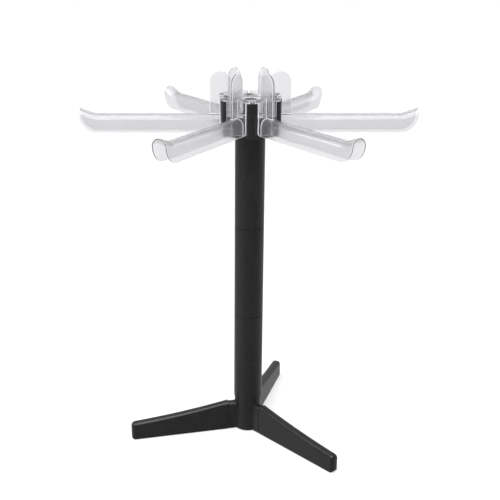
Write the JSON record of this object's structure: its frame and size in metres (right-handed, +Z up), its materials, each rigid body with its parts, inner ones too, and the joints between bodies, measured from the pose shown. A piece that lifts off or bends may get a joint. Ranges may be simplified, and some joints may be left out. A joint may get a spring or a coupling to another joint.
{
  "type": "pasta drying rack",
  "caption": "Free-standing drying rack for fresh pasta: clear arms that lift out of a turning head, on a plug-together column with splayed legs.",
  "frame": {"origin": "on the surface it stands on, below the column's axis", "axes": "+Z up along the column, -Y towards the pictured front, between its two front arms; +X to the right"},
  "size_m": [0.378, 0.3358, 0.4431],
  "materials": {
    "black_plastic": "satin moulded black plastic",
    "clear_plastic": "clear polished plastic",
    "pad_rubber": "matt"
  },
  "bodies": {
    "base": {"base_hub": "black_plastic"},
    "leg_left": {"leg_left": "black_plastic", "foot_pad_left": "pad_rubber"},
    "leg_right": {"leg_right": "black_plastic", "foot_pad_right": "pad_rubber"},
    "leg_back": {"leg_back": "black_plastic", "foot_pad_back": "pad_rubber"},
    "lower_section": {"lower_section": "black_plastic"},
    "middle_section": {"middle_section": "black_plastic"},
    "upper_section": {"upper_section": "black_plastic"},
    "head": {"head": "black_plastic", "centre_cap": "black_plastic"},
    "arm_front_right": {"arm_front_right": "clear_plastic"},
    "arm_right": {"arm_right": "clear_plastic"},
    "arm_back_right": {"arm_back_right": "clear_plastic"},
    "arm_back_left": {"arm_back_left": "clear_plastic"},
    "arm_left": {"arm_left": "clear_plastic"},
    "arm_front_left": {"arm_front_left": "clear_plastic"}
  },
  "joints": [
    {"name": "leg_left_pull", "type": "slide", "parent": "base", "child": "leg_left", "axis": [-0.9826, -0.1857, 0], "range_m": [0, 0.016]},
    {"name": "leg_right_pull", "type": "slide", "parent": "base", "child": "leg_right", "axis": [0.6521, -0.7581, 0], "range_m": [0, 0.016]},
    {"name": "leg_back_pull", "type": "slide", "parent": "base", "child": "leg_back", "axis": [0.3305, 0.9438, 0], "range_m": [0, 0.016]},
    {"name": "lower_section_lift", "type": "slide", "parent": "base", "child": "lower_section", "axis": [0, 0, 1], "range_m": [0, 0.016]},
    {"name": "middle_section_lift", "type": "slide", "parent": "lower_section", "child": "middle_section", "axis": [0, 0, 1], "range_m": [0, 0.016]},
    {"name": "upper_section_lift", "type": "slide", "parent": "middle_section", "child": "upper_section", "axis": [0, 0, 1], "range_m": [0, 0.016]},
    {"name": "head_swivel", "type": "hinge", "parent": "upper_section", "child": "head", "pos_m": [0, 0, 0.3735], "axis": [0, 0, 1], "continuous": true},
    {"name": "arm_front_right_lift", "type": "slide", "parent": "head", "child": "arm_front_right", "axis": [0, 0, 1], "range_m": [0, 0.038]},
    {"name": "arm_right_lift", "type": "slide", "parent": "head", "child": "arm_right", "axis": [0, 0, 1], "range_m": [0, 0.038]},
    {"name": "arm_back_right_lift", "type": "slide", "parent": "head", "child": "arm_back_right", "axis": [0, 0, 1], "range_m": [0, 0.038]},
    {"name": "arm_back_left_lift", "type": "slide", "parent": "head", "child": "arm_back_left", "axis": [0, 0, 1], "range_m": [0, 0.038]},
    {"name": "arm_left_lift", "type": "slide", "parent": "head", "child": "arm_left", "axis": [0, 0, 1], "range_m": [0, 0.038]},
    {"name": "arm_front_left_lift", "type": "slide", "parent": "head", "child": "arm_front_left", "axis": [0, 0, 1], "range_m": [0, 0.038]}
  ]
}
